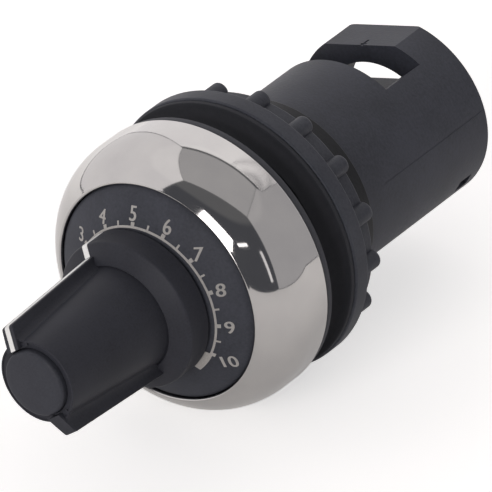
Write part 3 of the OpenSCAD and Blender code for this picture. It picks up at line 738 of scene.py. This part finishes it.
arrow_head = drawn([(-0.12, 29.0, CARVED_Z), (0.74, 29.0, CARVED_Z), (0.31, 28.4, CARVED_Z)],
                   (0, 0, 1))
arrow_line = block(0.18, 0.44, 28.9, 29.8, CARVED_Z, 9)
tube = carved(tube, window, flat_cut, latch_slot, arrow_head, arrow_line)
# The line that the two halves of the mould leave along the tube
flash = turn(block(-0.05, 0.05, 16, 32.9, TUBE_R - 0.3, TUBE_R + 0.035), 72 - FLAT)
tube = turn(gather(tube, flash), FLAT)
finish("rear_tube", tube, housing_black, "housing", "housing_plastic", "rear_housing", smooth=30)


# Stage: the room and the tent's cloth, the floor, the world and the lamps

ROOM_R = 1500
LAMP_COLOUR = (1, 0.965, 0.96)
LAMP_REACH = 600

# A light tent about 450 mm wide and 420 mm deep and high, open towards the camera
TO_FRONT, TO_LEFT, TO_RIGHT, TO_BACK, TO_TOP, TO_FLOOR = 165, 173, 280, 261, 408, 14.86
SEAM, HEM = 5, 45


def towards(azimuth, elevation):
    """Unit vector at an azimuth from the knob's side, turning to +X, and an elevation."""
    a, e = math.radians(azimuth), math.radians(elevation)
    return Vector((math.sin(a) * math.cos(e), -math.cos(a) * math.cos(e), math.sin(e)))


def background_rays(tree):
    """Factors for the rays that show the background: the camera's, and metal's and glass's."""
    ray = add(tree, "ShaderNodeLightPath").outputs
    mirrored = add(
        tree, "ShaderNodeMath", None, {0: ray["Is Glossy Ray"], 1: ray["Is Transmission Ray"]},
        operation="MAXIMUM")
    return ray["Is Camera Ray"], mirrored.outputs["Value"]


def white_world():
    """The world: white wherever the camera, metal or glass sees it, and dim as a light."""
    world = bpy.data.worlds.new("white_world")
    tree = emptied(world)
    camera_ray, mirrored = background_rays(tree)
    either = add(
        tree, "ShaderNodeMath", None, {0: camera_ray, 1: mirrored}, operation="MAXIMUM")
    seen = add(
        tree, "ShaderNodeMix", {"A": linear("#505052"), "B": linear("#ffffff")},
        {"Factor": either.outputs["Value"]}, data_type="RGBA")
    back = add(
        tree, "ShaderNodeBackground", {"Strength": 1.0}, {"Color": seen.outputs["Result"]})
    add(tree, "ShaderNodeOutputWorld", links={"Surface": back.outputs["Background"]})
    bpy.context.scene.world = world


def dim_walls():
    """Painted walls of the room in front of the tent, lighter above 45 degrees."""
    material = bpy.data.materials.new("dim_walls")
    tree = emptied(material)
    where = add(tree, "ShaderNodeTexCoord").outputs["Object"]
    height = add(tree, "ShaderNodeSeparateXYZ", None, {"Vector": where}).outputs["Z"]
    above = add(
        tree, "ShaderNodeMapRange",
        {"From Min": 0.68 * ROOM_R * MM, "From Max": 0.76 * ROOM_R * MM}, {"Value": height},
        interpolation_type="SMOOTHSTEP").outputs["Result"]
    paint = add(
        tree, "ShaderNodeMix", {"A": linear("#55565b"), "B": linear("#6f6f71")},
        {"Factor": above}, data_type="RGBA").outputs["Result"]
    glow = add(tree, "ShaderNodeEmission", {"Strength": 1.0}, {"Color": paint})
    add(tree, "ShaderNodeOutputMaterial", links={"Surface": glow.outputs["Emission"]})
    return material


def grey_cloth():
    """Matt grey cloth, in shadow where the tent's cover is folded."""
    material = bpy.data.materials.new("grey_cloth")
    tree = emptied(material)
    cloth = add(tree, "ShaderNodeBsdfDiffuse", {"Color": linear("#77777a"), "Roughness": 0.8})
    add(tree, "ShaderNodeOutputMaterial", links={"Surface": cloth.outputs["BSDF"]})
    return material


def pale_sheet():
    """A pale sheet that keeps the shadow, shows nearly white to the camera and, in metal, glows
    with painted light.
    """
    material = bpy.data.materials.new("pale_sheet")
    tree = emptied(material)
    camera_ray, mirrored = background_rays(tree)
    paper = add(tree, "ShaderNodeBsdfDiffuse", {"Color": linear("#f2f0ee"), "Roughness": 0.5})
    where = add(tree, "ShaderNodeTexCoord").outputs["Object"]
    across = add(tree, "ShaderNodeSeparateXYZ", None, {"Vector": where}).outputs["X"]
    # Painted light: as metal and glass see it, the sheet glows more towards the left, as if more
    # light fell there
    lit = add(
        tree, "ShaderNodeMapRange",
        {"From Min": -120 * MM, "From Max": 20 * MM, "To Min": 0.38, "To Max": 0.15},
        {"Value": across}).outputs["Result"]
    in_metal = add(
        tree, "ShaderNodeMath", None, {0: mirrored, 1: lit}, operation="MULTIPLY")
    seen = add(
        tree, "ShaderNodeMath", {1: 0.52}, {0: camera_ray, 2: in_metal.outputs["Value"]},
        operation="MULTIPLY_ADD")
    glow = add(tree, "ShaderNodeEmission", None, {"Strength": seen.outputs["Value"]})
    both = add(
        tree, "ShaderNodeAddShader", None,
        {0: paper.outputs["BSDF"], 1: glow.outputs["Emission"]})
    add(tree, "ShaderNodeOutputMaterial", links={"Surface": both.outputs["Shader"]})
    return material


FRONT, SIDE, RISE = towards(18, 0), towards(108, 0), Vector((0, 0, 1))
tent_depth, tent_width, tent_height = TO_FRONT + TO_BACK, TO_LEFT + TO_RIGHT, TO_TOP + TO_FLOOR
mid_depth = FRONT * (TO_FRONT - TO_BACK) / 2
mid_width = SIDE * (TO_RIGHT - TO_LEFT) / 2
mid_height = RISE * (TO_TOP - TO_FLOOR) / 2

sheet = bmesh.new()
corners = []
for a, b in ((-1, -1), (1, -1), (1, 1), (-1, 1)):
    reach = FRONT * tent_depth * a / 2 + SIDE * tent_width * b / 2
    corners.append(sheet.verts.new(mid_depth + mid_width + reach - RISE * TO_FLOOR))
sheet.faces.new(corners)
floor = placed("floor", sheet, pale_sheet())

walls = bmesh.new()
bmesh.ops.create_icosphere(walls, subdivisions=4, radius=ROOM_R)
bmesh.ops.reverse_faces(walls, faces=walls.faces)
room = placed("room", walls, dim_walls())
room.visible_camera = False

# Folds of the tent's cloth that run along its back to the right top corner
folds = bmesh.new()
for left_rise, right_rise in ((353, 355), (342, 346), (328, 336), (310, 324)):
    fold = []
    for along, rise in (
            (70, left_rise + 1), (276, right_rise + 3), (276, right_rise - 3), (70, left_rise - 1)):
        fold.append(folds.verts.new(SIDE * along - FRONT * (TO_BACK - 4) + RISE * rise))
    folds.faces.new(fold)
tent_folds = placed("folds", folds, grey_cloth())
tent_folds.visible_camera = False


def panel(name, centre, outward, width, height, level, tilt=0):
    """A lit panel that faces back along a direction; level is how bright it looks."""
    lamp = bpy.data.lights.new(name, "AREA")
    lamp.shape = "RECTANGLE"
    lamp.size = width * MM
    lamp.size_y = height * MM
    lamp.color = LAMP_COLOUR
    lamp.energy = math.pi * level * lamp.size * lamp.size_y
    thing = bpy.data.objects.new(name, lamp)
    facing = outward.to_track_quat("Z", "Y").to_matrix().to_4x4()
    thing.matrix_world = (
        Matrix.Translation(centre * MM) @ facing @ Matrix.Rotation(math.radians(tilt), 4, "Z"))
    thing.visible_camera = False
    bpy.context.scene.collection.objects.link(thing)


def room_panel(name, way, width, height, level, tilt):
    """A lit panel in the room, in front of the tent."""
    panel(name, way * LAMP_REACH, way, width, height, level, tilt)


white_world()
panel("left_wall", mid_depth - SIDE * TO_LEFT + mid_height, -SIDE,
      tent_depth - SEAM, tent_height - SEAM, 0.84)
panel("right_wall", mid_depth + SIDE * TO_RIGHT + mid_height, SIDE,
      tent_depth - SEAM, tent_height - SEAM, 0.41)
panel("back_wall", mid_width - FRONT * TO_BACK + mid_height - RISE * HEM / 2, -FRONT,
      tent_width - SEAM, tent_height - HEM, 0.98)
panel("top_wall", mid_depth + mid_width + RISE * TO_TOP, RISE,
      tent_width - SEAM, tent_depth - SEAM, 0.35, tilt=18)
room_panel("window_lamp", towards(7, 15.5), 270, 390, 4.4, -27)
room_panel("room_strip", towards(41, 26), 165, 24, 2.5, 20)
room_panel("room_frame", towards(69, 14), 42, 240, 0.9, 6)


# Camera: a long lens at the photograph's angle, aimed at a point right of and above the dial

AZIMUTH, ELEVATION, DISTANCE = 36.33, 33.46, 1000
AIM_Y, AIM_RIGHT, AIM_UP = -8.8, 8.61, 4.46
FOCAL_LENGTH, SENSOR = 751.5, 36

right = Vector((math.cos(math.radians(AZIMUTH)), math.sin(math.radians(AZIMUTH)), 0))
back = towards(AZIMUTH, ELEVATION)
up = back.cross(right)
lens = bpy.data.cameras.new("camera")
lens.lens = FOCAL_LENGTH
lens.sensor_width = SENSOR
lens.clip_start = 0.05
lens.clip_end = 20
camera = bpy.data.objects.new("camera", lens)
spot = Vector((0, AIM_Y, 0)) + AIM_RIGHT * right + AIM_UP * up + DISTANCE * back
axes = Matrix((right, up, back)).transposed().to_4x4()
camera.matrix_world = Matrix.Translation(spot * MM) @ axes
bpy.context.scene.collection.objects.link(camera)
bpy.context.scene.camera = camera

bpy.context.scene.view_settings.view_transform = "Standard"
